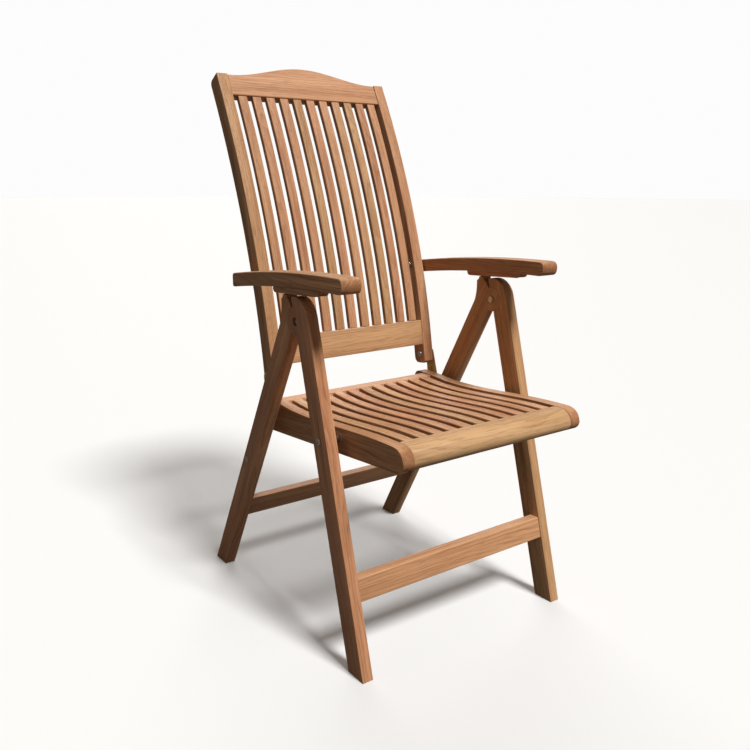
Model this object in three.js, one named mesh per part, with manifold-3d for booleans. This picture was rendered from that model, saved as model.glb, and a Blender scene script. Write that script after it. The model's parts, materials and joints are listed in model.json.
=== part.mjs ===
// Five-position reclining folding armchair in solid teak, with brass-toned steel fittings.
// Millimetres, +Z up. The sitter faces -Y, and X runs across the chair.
// The origin is on the floor, under the middle of the open chair. The side-plane numbers below are
// measured from a line CENTRE_SHIFT behind it, and the finished group is moved by that much.
import * as THREE from "three";
import { mergeVertices } from "three/addons/utils/BufferGeometryUtils.js";
import Module from "manifold-3d";

const wasm = await Module();
wasm.setup();

// ---- Driving dimensions ----------------------------------------------------------------

const CENTRE_SHIFT = 1.92;

// Layers across the chair, as distances from the middle plane
const LEG_OUTER = 263;
const LEG_THICK = 23;
const ARM_INNER = 223.3;
const ARM_OUTER = 265;
const STILE_OUTER = 219;
const STILE_WIDE = 25.5;
const SEAT_OUTER = 221.5;
const SEAT_RAIL_THICK = 24;
const PLATE_INNER = 222;
const PLATE_THICK = 3;
const LINK_INNER = 229;
const LINK_THICK = 4;

// Pivots in the side plane, as [y, z]
const APEX = [-72, 642];
const SEAT_PIVOT = [-151, 428];
const LINK_LEG_PIVOT = [150, 305];
const LINK_SEAT_PIVOT = [128, 400];
const PLATE_PIVOT = [104, 428];
const BACK_PIVOT = [117.6, 489.7];
const ARM_PIVOT = [165.5, 701.2];
const NOTCH = [-36.6, 692];

// Legs
const FRONT_LEAN = THREE.MathUtils.degToRad(15.2);
const REAR_LEAN = THREE.MathUtils.degToRad(28.9);
const FRONT_LEG_WIDE = 47;
const REAR_LEG_WIDE = 44;
const EYE_RADIUS = 27;
const EYE_PLAY = 0.5;
const LAP_PLAY = 0.4;
const LEG_EDGE_PLAY = 0.6;

// Stretchers: heights above the floor, thickness along the legs' depth
const FRONT_STRETCHER = { low: 140, high: 183, thick: 21 };
const REAR_STRETCHER = { low: 142, high: 192, inset: 12, thick: 22 };

// Seat
const SEAT_FRONT = -355;
const SEAT_REAR = 144;
const SEAT_SLATS = 11;
const SEAT_SLAT_WIDE = 21.5;
const SEAT_SLAT_THICK = 15;
const FRONT_RAIL_DEEP = 46;
const REAR_RAIL = { front: 82, rear: 112, high: 42 };

// Back
const BACK_FOOT = 468;
const BACK_TOP = 1112;
const STILE_DEEP = 38;
const BACK_SLATS = 11;
const BACK_SLAT_WIDE = 20.5;
const BACK_SLAT_THICK = 12;
const BACK_RAIL_THICK = 24;
const LOWER_RAIL = { low: 513, high: 570 };
const CREST_LOW = 1068;
const CREST_HUMP = 29;

// Arms
const ARM_REAR = 182;
const ARM_FRONT = -236;
const ARM_THICK = 29;
const ARM_BOLT_REACH = 30;
const ARM_NOSE_ROUND = 14;
const ARM_REAR_ROUND = 7;
const NOTCH_COUNT = 5;
const NOTCH_PITCH = 28;
const NOTCH_RADIUS = 7.6;
const RACK = { rear: 9.5, front: -155, deep: 11, round: 12 };

// Fittings
const BOLT_RADIUS = 4;
const BOLT_HOLE = 4.4;
const HEAD_RADIUS = 7;
const NUT_HIGH = 3.5;
const DOME_HIGH = 3.2;
const COLLAR_RADIUS = 8.5;
const PLATE_BOLT_REACH = 18;
const GAP = 0.3;

// ---- Materials -------------------------------------------------------------------------

const wood = (colour) => new THREE.MeshStandardMaterial({ color: colour, roughness: 0.55, metalness: 0 });
const metal = (colour) => new THREE.MeshStandardMaterial({ color: colour, roughness: 0.35, metalness: 1 });
const legWood = () => wood(0xa9744a);
const seatWood = () => wood(0xc08a62);
const backWood = () => wood(0xc9976c);
const brass = () => metal(0x8a7440);
const steel = () => metal(0xb9b3a4);

// ---- Shape helpers ---------------------------------------------------------------------

// Side pieces are drawn with the shape's x along the chair's y and the shape's y along its z,
// and are extruded across the chair.
const SIDE_TURN = new THREE.Quaternion().setFromRotationMatrix(
  new THREE.Matrix4().makeBasis(
    new THREE.Vector3(0, 1, 0),
    new THREE.Vector3(0, 0, 1),
    new THREE.Vector3(1, 0, 0),
  ),
);

function polygon(points) {
  return new THREE.Shape(points.map(([y, z]) => new THREE.Vector2(y, z)));
}

function slab(shape, thick, curveSegments = 10) {
  return new THREE.ExtrudeGeometry(shape, { depth: thick, bevelEnabled: false, curveSegments });
}

// A cylinder along the extrusion axis of a slab, from one depth to another.
function plug([y, z], radius, from, to, sides = 24) {
  const g = new THREE.CylinderGeometry(radius, radius, to - from, sides);
  g.rotateX(Math.PI / 2);
  g.translate(y, z, (from + to) / 2);
  return g;
}

function toSolid(geometry) {
  const g = geometry.clone();
  g.deleteAttribute("normal");
  g.deleteAttribute("uv");
  const merged = mergeVertices(g, 1e-4);
  return new wasm.Manifold(
    new wasm.Mesh({
      numProp: 3,
      vertProperties: new Float32Array(merged.attributes.position.array),
      triVerts: new Uint32Array(merged.index.array),
    }),
  );
}

function toGeometry(solid) {
  const m = solid.getMesh();
  const g = new THREE.BufferGeometry();
  g.setAttribute("position", new THREE.BufferAttribute(new Float32Array(m.vertProperties), 3));
  g.setIndex(new THREE.BufferAttribute(new Uint32Array(m.triVerts), 1));
  g.computeVertexNormals();
  return g;
}

function carve(base, added, cut) {
  let solid = toSolid(base);
  for (const g of added) solid = solid.add(toSolid(g));
  for (const g of cut) solid = solid.subtract(toSolid(g));
  return toGeometry(solid);
}

const root = new THREE.Group();

function place(name, geometry, material, position, quaternion = null) {
  const mesh = new THREE.Mesh(geometry, material);
  mesh.name = name;
  mesh.position.set(...position);
  if (quaternion) mesh.quaternion.copy(quaternion);
  root.add(mesh);
  return mesh;
}

// Puts a side piece with its lower face at x = from.
function placeSide(name, geometry, material, from) {
  return place(name, geometry, material, [from, 0, 0], SIDE_TURN);
}

// Runs once for each side of the chair: side is -1 on the left and +1 on the right. A layer
// reaches from one distance to another from the middle plane: span gives its lower x, and within
// turns two distances from the middle plane into depths in the layer.
function bothSides(build) {
  for (const [word, side] of [["left", -1], ["right", 1]]) {
    const span = (inner, outer) => (side > 0 ? inner : -outer);
    const within = (inner, outer, from, to) =>
      side > 0 ? [from - inner, to - inner] : [outer - to, outer - from];
    build({ word, side, span, within });
  }
}

// A bolt drawn as a lathe: radii against the distance from the middle plane.
function placeBolt(name, [y, z], profile, side, material) {
  const g = new THREE.LatheGeometry(profile.map(([r, d]) => new THREE.Vector2(r, d)), 20);
  const turn = new THREE.Quaternion().setFromUnitVectors(
    new THREE.Vector3(0, 1, 0),
    new THREE.Vector3(side, 0, 0),
  );
  place(name, g, material, [0, y, z], turn);
}

// The profile of a domed head: from the rim inwards to the tip, rising away from the wood.
function dome(face, radius, high, steps = 4) {
  const rim = [];
  for (let i = 0; i <= steps; i++) {
    const a = (i / steps) * (Math.PI / 2);
    rim.push([i === steps ? 0 : radius * Math.cos(a), face + high * Math.sin(a)]);
  }
  return rim;
}

// ---- Legs ------------------------------------------------------------------------------

const [apexY, apexZ] = APEX;
const upFront = [Math.sin(FRONT_LEAN), Math.cos(FRONT_LEAN)];
const forwardOfFront = [-Math.cos(FRONT_LEAN), Math.sin(FRONT_LEAN)];
const upRear = [-Math.sin(REAR_LEAN), Math.cos(REAR_LEAN)];
const behindRear = [Math.cos(REAR_LEAN), Math.sin(REAR_LEAN)];
const along = ([y, z], [dy, dz], t) => [y + dy * t, z + dz * t];
const atHeight = ([y, z], [dy, dz], height) => [y + (dy * (height - z)) / dz, height];

const frontLegRear = along(APEX, forwardOfFront, LEG_EDGE_PLAY);
const frontLegFront = along(APEX, forwardOfFront, FRONT_LEG_WIDE);
const rearLegFront = along(APEX, behindRear, LEG_EDGE_PLAY);
const rearLegRear = along(APEX, behindRear, REAR_LEG_WIDE);

// The front leg's rear edge runs through the apex, and its top is a quarter round about it.
function frontLegShape() {
  const shape = new THREE.Shape();
  const edgeAngle = Math.asin(LEG_EDGE_PLAY / FRONT_LEG_WIDE);
  const topAngle = Math.PI / 2 - FRONT_LEAN + edgeAngle;
  const topUp = FRONT_LEG_WIDE * Math.cos(edgeAngle);
  shape.moveTo(...atHeight(frontLegRear, upFront, 0));
  shape.lineTo(...along(frontLegRear, upFront, topUp));
  shape.absarc(apexY, apexZ, FRONT_LEG_WIDE, topAngle, Math.PI - FRONT_LEAN, false);
  shape.lineTo(...atHeight(frontLegFront, upFront, 0));
  return shape;
}

// The rear leg's front edge runs through the apex. Above it the leg narrows to a tongue, whose
// round tip fits the notches under the arm.
const TIP_RADIUS = NOTCH_RADIUS - 0.6;
const TONGUE_HALF = 13.5;
const TONGUE_SHOULDER = 38;
const TONGUE_THICK = 15;
const TONGUE_STEP = 689;
const CHEEK_PLAY = 0.6;
const LEG_MIDDLE = LEG_OUTER - LEG_THICK / 2;
function rearLegShape() {
  const [tipY, tipZ] = NOTCH;
  const shoulder = apexZ + TONGUE_SHOULDER;
  const besideFrontLeg = along(along(APEX, forwardOfFront, -2.5), upFront, EYE_RADIUS - 3);
  const shape = new THREE.Shape();
  shape.moveTo(...atHeight(rearLegFront, upRear, 0));
  shape.lineTo(...atHeight(rearLegRear, upRear, 0));
  shape.lineTo(...along(rearLegRear, upRear, -38));
  shape.quadraticCurveTo(...along(rearLegRear, upRear, -24), tipY + TONGUE_HALF, shoulder - 16);
  shape.lineTo(tipY + TONGUE_HALF, shoulder);
  shape.lineTo(tipY + TIP_RADIUS, tipZ - 7);
  shape.absarc(tipY, tipZ, TIP_RADIUS, 0, Math.PI, false);
  shape.lineTo(tipY - TIP_RADIUS, tipZ - 7);
  shape.lineTo(tipY - TONGUE_HALF, shoulder);
  shape.lineTo(...besideFrontLeg);
  shape.lineTo(...along(APEX, behindRear, LEG_EDGE_PLAY));
  return shape;
}

function disc([y, z], radius) {
  const shape = new THREE.Shape();
  shape.absarc(y, z, radius, 0, 2 * Math.PI, false);
  return shape;
}

// A block that thins the tongue from one side, between two depths in the layer.
function besideTongue([from, to]) {
  const block = new THREE.BoxGeometry(4 * TONGUE_HALF, 2 * TONGUE_HALF, to - from);
  block.translate(NOTCH[0], TONGUE_STEP + TONGUE_HALF, (from + to) / 2);
  return block;
}

// The two legs of a side are half-lapped round the apex bolt: the front leg keeps the outer half
// of its thickness there and the rear leg the inner half.
const BOLT_SINK = 6;
const SINK_RADIUS = HEAD_RADIUS + 1.5;
bothSides(({ word, span, within }) => {
  const inner = LEG_OUTER - LEG_THICK;
  const x = span(inner, LEG_OUTER);
  const hole = (centre, radius, from, to, sides) =>
    plug(centre, radius, ...within(inner, LEG_OUTER, from, to), sides);
  const through = (centre) => hole(centre, BOLT_HOLE, inner - 1, LEG_OUTER + 1, 16);
  const eye = slab(disc(APEX, EYE_RADIUS), LEG_THICK, 20);
  const clear = EYE_RADIUS + EYE_PLAY;
  const frontCuts = [
    hole(APEX, clear, inner - 1, LEG_MIDDLE + LAP_PLAY / 2, 44),
    through(APEX),
    hole(APEX, SINK_RADIUS, LEG_OUTER - BOLT_SINK, LEG_OUTER + 1, 20),
    through(SEAT_PIVOT),
  ];
  const rearCuts = [
    hole(APEX, clear, LEG_MIDDLE - LAP_PLAY / 2, LEG_OUTER + 1, 44),
    through(APEX),
    through(LINK_LEG_PIVOT),
    besideTongue(within(inner, LEG_OUTER, inner - 1, LEG_MIDDLE - TONGUE_THICK / 2)),
    besideTongue(within(inner, LEG_OUTER, LEG_MIDDLE + TONGUE_THICK / 2, LEG_OUTER + 1)),
  ];
  placeSide(`front_leg_${word}`, carve(slab(frontLegShape(), LEG_THICK), [eye], frontCuts), legWood(), x);
  placeSide(`rear_leg_${word}`, carve(slab(rearLegShape(), LEG_THICK), [eye], rearCuts), legWood(), x);
});

// A stretcher between the legs of a pair, as a bar that lies along the legs' lean.
function placeStretcher(name, edge, up, across, { low, high, thick, inset = 0.8 }) {
  const face = along(edge, across, inset);
  const back = along(edge, across, inset + thick);
  const bar = polygon([
    atHeight(face, up, low),
    atHeight(back, up, low),
    atHeight(back, up, high),
    atHeight(face, up, high),
  ]);
  const reach = LEG_OUTER - LEG_THICK - GAP;
  placeSide(name, slab(bar, 2 * reach), legWood(), -reach);
}
placeStretcher("front_stretcher", frontLegFront, upFront, forwardOfFront.map((v) => -v), FRONT_STRETCHER);
placeStretcher("rear_stretcher", rearLegFront, upRear, behindRear, REAR_STRETCHER);

// ---- Seat ------------------------------------------------------------------------------

// The seat's under edge falls from front to rear, and its dished top follows a cosine wave
// between the raised front, the hollow and the raised rear end.
const UNDER_FRONT = 415.5;
const UNDER_FALL = 0.0821;
const TOP_FRONT = 459.5;
const TOP_HOLLOW = 440.5;
const TOP_REAR = 446;
const HOLLOW_AT = 10;
const seatUnder = (y) => UNDER_FRONT - UNDER_FALL * (y - SEAT_FRONT);
const NOSE_BACK = 30;
function seatTop(y) {
  const [end, high] = y < HOLLOW_AT ? [SEAT_FRONT + NOSE_BACK, TOP_FRONT] : [SEAT_REAR - 20, TOP_REAR];
  const t = Math.min(1, Math.abs((y - HOLLOW_AT) / (end - HOLLOW_AT)));
  return TOP_HOLLOW + ((high - TOP_HOLLOW) * (1 - Math.cos(Math.PI * t))) / 2;
}

// The rounded nose that the side rails and the front rail share.
function drawNose(shape) {
  shape.lineTo(SEAT_FRONT + 22, seatUnder(SEAT_FRONT + 22));
  shape.quadraticCurveTo(SEAT_FRONT + 2, seatUnder(SEAT_FRONT) + 2, SEAT_FRONT, seatUnder(SEAT_FRONT) + 17);
  shape.quadraticCurveTo(SEAT_FRONT + 3, TOP_FRONT - 1, SEAT_FRONT + NOSE_BACK, TOP_FRONT);
}

function drawTop(shape, from, to, steps, drop = 0) {
  for (let i = 0; i <= steps; i++) {
    const y = from + ((to - from) * i) / steps;
    shape.lineTo(y, seatTop(y) - drop);
  }
}

function seatRailShape() {
  const shape = new THREE.Shape();
  shape.moveTo(SEAT_REAR - 14, seatUnder(SEAT_REAR));
  drawNose(shape);
  drawTop(shape, SEAT_FRONT + NOSE_BACK + 15, SEAT_REAR - 22, 14);
  shape.quadraticCurveTo(SEAT_REAR - 1, TOP_REAR, SEAT_REAR, TOP_REAR - 20);
  shape.lineTo(SEAT_REAR, seatUnder(SEAT_REAR) + 14);
  shape.quadraticCurveTo(SEAT_REAR, seatUnder(SEAT_REAR), SEAT_REAR - 14, seatUnder(SEAT_REAR));
  return shape;
}

const SEAT_INNER = SEAT_OUTER - SEAT_RAIL_THICK;
bothSides(({ word, span, within }) => {
  const cuts = [
    [SEAT_PIVOT, SEAT_INNER - 1],
    [LINK_SEAT_PIVOT, SEAT_INNER - 1],
    [PLATE_PIVOT, SEAT_OUTER - PLATE_BOLT_REACH - 1],
  ].map(([pivot, from]) =>
    plug(pivot, BOLT_HOLE, ...within(SEAT_INNER, SEAT_OUTER, from, SEAT_OUTER + 1), 16));
  const rail = carve(slab(seatRailShape(), SEAT_RAIL_THICK, 6), [], cuts);
  placeSide(`seat_rail_${word}`, rail, seatWood(), span(SEAT_INNER, SEAT_OUTER));
});

function seatFrontRailShape() {
  const back = SEAT_FRONT + FRONT_RAIL_DEEP;
  const shape = new THREE.Shape();
  shape.moveTo(back, seatUnder(back));
  drawNose(shape);
  shape.lineTo(back, seatTop(back));
  return shape;
}
const seatSpan = SEAT_INNER - GAP;
placeSide("seat_front_rail", slab(seatFrontRailShape(), 2 * seatSpan, 6), seatWood(), -seatSpan);

const rearRailShape = polygon([
  [REAR_RAIL.front, seatTop(REAR_RAIL.front) - REAR_RAIL.high],
  [REAR_RAIL.rear, seatTop(REAR_RAIL.rear) - REAR_RAIL.high],
  [REAR_RAIL.rear, seatTop(REAR_RAIL.rear) - 3],
  [REAR_RAIL.front, seatTop(REAR_RAIL.front) - 1],
]);
placeSide("seat_rear_rail", slab(rearRailShape, 2 * seatSpan), seatWood(), -seatSpan);

// Lays count slats side by side between two rails, with equal gaps, and calls build with each
// slat's number and lower x.
function acrossSlats(count, wide, inner, build) {
  const gap = (2 * inner - count * wide) / (count + 1);
  for (let i = 0; i < count; i++) build(i + 1, -inner + gap + i * (wide + gap));
}

function seatSlatShape() {
  const front = SEAT_FRONT + FRONT_RAIL_DEEP + GAP;
  const rear = REAR_RAIL.front - GAP;
  const steps = 12;
  const shape = new THREE.Shape();
  shape.moveTo(front, seatTop(front) - 1 - SEAT_SLAT_THICK);
  for (let i = 1; i <= steps; i++) {
    const y = front + ((rear - front) * i) / steps;
    shape.lineTo(y, seatTop(y) - 1 - SEAT_SLAT_THICK);
  }
  drawTop(shape, rear, front, steps, 1);
  return shape;
}
acrossSlats(SEAT_SLATS, SEAT_SLAT_WIDE, SEAT_INNER, (n, x) => {
  placeSide(`seat_slat_${String(n).padStart(2, "0")}`, slab(seatSlatShape(), SEAT_SLAT_WIDE), seatWood(), x);
});

// ---- Back ------------------------------------------------------------------------------

// The stiles' middle line is a parabola: nearly upright at the seat and leaning back at the top.
const BACK_FOOT_Y = 117.5;
const BACK_SLOPE = 0.133;
const BACK_BEND = 0.000313;
const backMiddle = (z) => BACK_FOOT_Y + BACK_SLOPE * (z - BACK_FOOT) + BACK_BEND * (z - BACK_FOOT) ** 2;

// The point at a height on the middle line, moved square to it: negative is to the front.
function backPoint(z, offset) {
  const slope = BACK_SLOPE + 2 * BACK_BEND * (z - BACK_FOOT);
  const length = Math.hypot(1, slope);
  return [backMiddle(z) + offset / length, z - (offset * slope) / length];
}

// A strip of the back between two heights and two offsets from the middle line.
function backStrip(low, high, front, rear, steps) {
  const points = [];
  for (let i = 0; i <= steps; i++) points.push(backPoint(low + ((high - low) * i) / steps, rear));
  for (let i = steps; i >= 0; i--) points.push(backPoint(low + ((high - low) * i) / steps, front));
  return polygon(points);
}

const STILE_INNER = STILE_OUTER - STILE_WIDE;
const STILE_ROUND = 16;

function stileShape() {
  const half = STILE_DEEP / 2;
  const steps = 14;
  const shape = new THREE.Shape();
  const foot = BACK_FOOT + STILE_ROUND;
  shape.moveTo(...backPoint(BACK_FOOT, -half + 5));
  shape.lineTo(...backPoint(BACK_FOOT, half - STILE_ROUND));
  shape.quadraticCurveTo(...backPoint(BACK_FOOT, half), ...backPoint(foot, half));
  for (let i = 1; i <= steps; i++) {
    shape.lineTo(...backPoint(foot + ((BACK_TOP - 10 - foot) * i) / steps, half));
  }
  shape.quadraticCurveTo(...backPoint(BACK_TOP, half), ...backPoint(BACK_TOP, half - 12));
  shape.lineTo(...backPoint(BACK_TOP, -half));
  for (let i = steps; i >= 0; i--) {
    shape.lineTo(...backPoint(BACK_FOOT + 5 + ((BACK_TOP - BACK_FOOT - 5) * i) / (steps + 1), -half));
  }
  return shape;
}

bothSides(({ word, span, within }) => {
  const cuts = [BACK_PIVOT, ARM_PIVOT].map((pivot) =>
    plug(pivot, BOLT_HOLE, ...within(STILE_INNER, STILE_OUTER, STILE_INNER - 1, STILE_OUTER + 1), 16));
  const stile = carve(slab(stileShape(), STILE_WIDE, 5), [], cuts);
  placeSide(`back_stile_${word}`, stile, backWood(), span(STILE_INNER, STILE_OUTER));
});

const backSpan = STILE_INNER - GAP;
const RAIL_FRONT = -STILE_DEEP / 2 + 0.8;
const lowerRail = backStrip(LOWER_RAIL.low, LOWER_RAIL.high, RAIL_FRONT, RAIL_FRONT + BACK_RAIL_THICK, 3);
placeSide("back_lower_rail", slab(lowerRail, 2 * backSpan), backWood(), -backSpan);

// The crest rail lies in the plane of the back's top. Its outline is drawn flat, x across and y
// up the slope, with a camel-back hump: a cosine wave that levels out near both ends.
const crestSlope = BACK_SLOPE + 2 * BACK_BEND * ((CREST_LOW + BACK_TOP) / 2 - BACK_FOOT);
const crestLean = Math.atan(crestSlope);
const crestEnd = (BACK_TOP - CREST_LOW) / Math.cos(crestLean);
const HUMP_HALF = 188;
const CREST_DROP = 0.6;
function crestShape() {
  const steps = 24;
  const shape = new THREE.Shape();
  shape.moveTo(-backSpan, 0);
  shape.lineTo(backSpan, 0);
  for (let i = 0; i <= steps; i++) {
    const x = backSpan - (2 * backSpan * i) / steps;
    const t = Math.min(1, Math.abs(x) / HUMP_HALF);
    shape.lineTo(x, crestEnd - CREST_DROP + (CREST_HUMP * (1 + Math.cos(Math.PI * t))) / 2);
  }
  return shape;
}
const [crestY, crestZ] = backPoint(CREST_LOW, RAIL_FRONT);
const crest = slab(crestShape(), BACK_RAIL_THICK);
crest.translate(0, 0, -BACK_RAIL_THICK);
const crestTurn = new THREE.Quaternion().setFromAxisAngle(
  new THREE.Vector3(1, 0, 0),
  Math.PI / 2 - crestLean,
);
place("crest_rail", crest, backWood(), [0, crestY, crestZ], crestTurn);

const SLAT_FRONT = RAIL_FRONT + 1.5;
const slat = backStrip(
  LOWER_RAIL.high + 0.6,
  CREST_LOW - 0.6,
  SLAT_FRONT,
  SLAT_FRONT + BACK_SLAT_THICK,
  10,
);
acrossSlats(BACK_SLATS, BACK_SLAT_WIDE, STILE_INNER, (n, x) => {
  placeSide(`back_slat_${String(n).padStart(2, "0")}`, slab(slat, BACK_SLAT_WIDE), backWood(), x);
});

// ---- Arms ------------------------------------------------------------------------------

// The arm rises to the front on a shallow curve and ends in a rounded nose.
const ARM_TOP_REAR = 709;
const ARM_TOP_MIDDLE = 738.5;
const ARM_TOP_FRONT = 738.5;
function armTop(y) {
  const t = (ARM_REAR - y) / (ARM_REAR - ARM_FRONT);
  return (1 - t) ** 2 * ARM_TOP_REAR + 2 * t * (1 - t) * ARM_TOP_MIDDLE + t * t * ARM_TOP_FRONT;
}

function armShape() {
  const steps = 10;
  const shape = new THREE.Shape();
  const under = (y) => armTop(y) - ARM_THICK;
  const rear = ARM_REAR - ARM_REAR_ROUND;
  const front = ARM_FRONT + ARM_NOSE_ROUND;
  shape.moveTo(rear, under(rear));
  shape.quadraticCurveTo(ARM_REAR, under(ARM_REAR), ARM_REAR, under(ARM_REAR) + ARM_REAR_ROUND);
  shape.lineTo(ARM_REAR, armTop(ARM_REAR) - ARM_REAR_ROUND);
  shape.quadraticCurveTo(ARM_REAR, armTop(ARM_REAR), rear, armTop(rear));
  for (let i = 1; i <= steps; i++) {
    const y = rear - ((rear - front) * i) / steps;
    shape.lineTo(y, armTop(y));
  }
  shape.quadraticCurveTo(ARM_FRONT, armTop(ARM_FRONT), ARM_FRONT, armTop(ARM_FRONT) - ARM_NOSE_ROUND);
  shape.quadraticCurveTo(ARM_FRONT, under(ARM_FRONT), front, under(front));
  for (let i = 1; i < steps; i++) {
    const y = front + ((rear - front) * i) / steps;
    shape.lineTo(y, under(y));
  }
  return shape;
}

// The rack is a block under the arm with a row of round notches between its two cheeks, one for
// each position of the back. The tongue of the rear leg stands in the rear notch when the back is
// upright.
const notchAt = (n) => {
  const y = NOTCH[0] - n * NOTCH_PITCH;
  return [y, armTop(y) - ARM_THICK - (armTop(NOTCH[0]) - ARM_THICK - NOTCH[1])];
};
function rackShape() {
  const face = (y) => armTop(y) - ARM_THICK - GAP;
  const steps = 6;
  const shape = new THREE.Shape();
  const under = (y) => face(y) - RACK.deep;
  const [rearTurn, frontTurn] = [RACK.rear - RACK.round, RACK.front + RACK.round];
  shape.moveTo(RACK.rear, face(RACK.rear));
  shape.quadraticCurveTo(RACK.rear, under(RACK.rear), rearTurn, under(rearTurn));
  shape.lineTo(frontTurn, under(frontTurn));
  shape.quadraticCurveTo(RACK.front, under(RACK.front), RACK.front, face(RACK.front));
  for (let i = 1; i < steps; i++) {
    const y = RACK.front + ((RACK.rear - RACK.front) * i) / steps;
    shape.lineTo(y, face(y) - 0.1);
  }
  return shape;
}

bothSides(({ word, span, within }) => {
  const boltReach = within(ARM_INNER, ARM_OUTER, ARM_INNER - 1, ARM_INNER + ARM_BOLT_REACH + 2);
  const armCut = plug(ARM_PIVOT, BOLT_HOLE, ...boltReach, 16);
  const arm = carve(slab(armShape(), ARM_OUTER - ARM_INNER, 5), [], [armCut]);
  placeSide(`arm_${word}`, arm, backWood(), span(ARM_INNER, ARM_OUTER));
  const inner = LEG_OUTER - LEG_THICK - 1;
  const outer = LEG_OUTER;
  const halfSlot = TONGUE_THICK / 2 + CHEEK_PLAY;
  const reach = within(inner, outer, LEG_MIDDLE - halfSlot, LEG_MIDDLE + halfSlot);
  const notches = [];
  for (let n = 0; n < NOTCH_COUNT; n++) {
    const [y, z] = notchAt(n);
    notches.push(plug([y, z], NOTCH_RADIUS, ...reach, 20));
    notches.push(plug([y, z - 7], NOTCH_RADIUS, ...reach, 20));
  }
  const rack = carve(slab(rackShape(), outer - inner), [], notches);
  placeSide(`arm_rack_${word}`, rack, legWood(), span(inner, outer));
});

// ---- Fittings --------------------------------------------------------------------------

// A brass plate on each side joins the back's stile to the seat rail. It turns on a bolt at each
// end, and widens downwards.
const PLATE_TOP_RADIUS = 13;
const PLATE_FOOT_RADIUS = 17.5;
function hingePlateShape() {
  const shape = new THREE.Shape();
  const [topY, topZ] = BACK_PIVOT;
  const [footY, footZ] = PLATE_PIVOT;
  const tilt = Math.atan2(topZ - footZ, topY - footY);
  shape.absarc(topY, topZ, PLATE_TOP_RADIUS, tilt - Math.PI / 2, tilt + Math.PI / 2, false);
  shape.absarc(footY, footZ, PLATE_FOOT_RADIUS, tilt + Math.PI / 2, tilt + 1.5 * Math.PI, false);
  return shape;
}

// A short link on each side carries the seat's rear end on the rear leg. The hole of its upper end
// has more play, because its bolt ends short of it.
const LINK_RADIUS = 11;
const LINK_PLAY = 2;
function linkShape() {
  const shape = new THREE.Shape();
  const [aY, aZ] = LINK_LEG_PIVOT;
  const [bY, bZ] = LINK_SEAT_PIVOT;
  const tilt = Math.atan2(bZ - aZ, bY - aY);
  shape.absarc(bY, bZ, LINK_RADIUS, tilt - Math.PI / 2, tilt + Math.PI / 2, false);
  shape.absarc(aY, aZ, LINK_RADIUS, tilt + Math.PI / 2, tilt + 1.5 * Math.PI, false);
  return shape;
}

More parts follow.
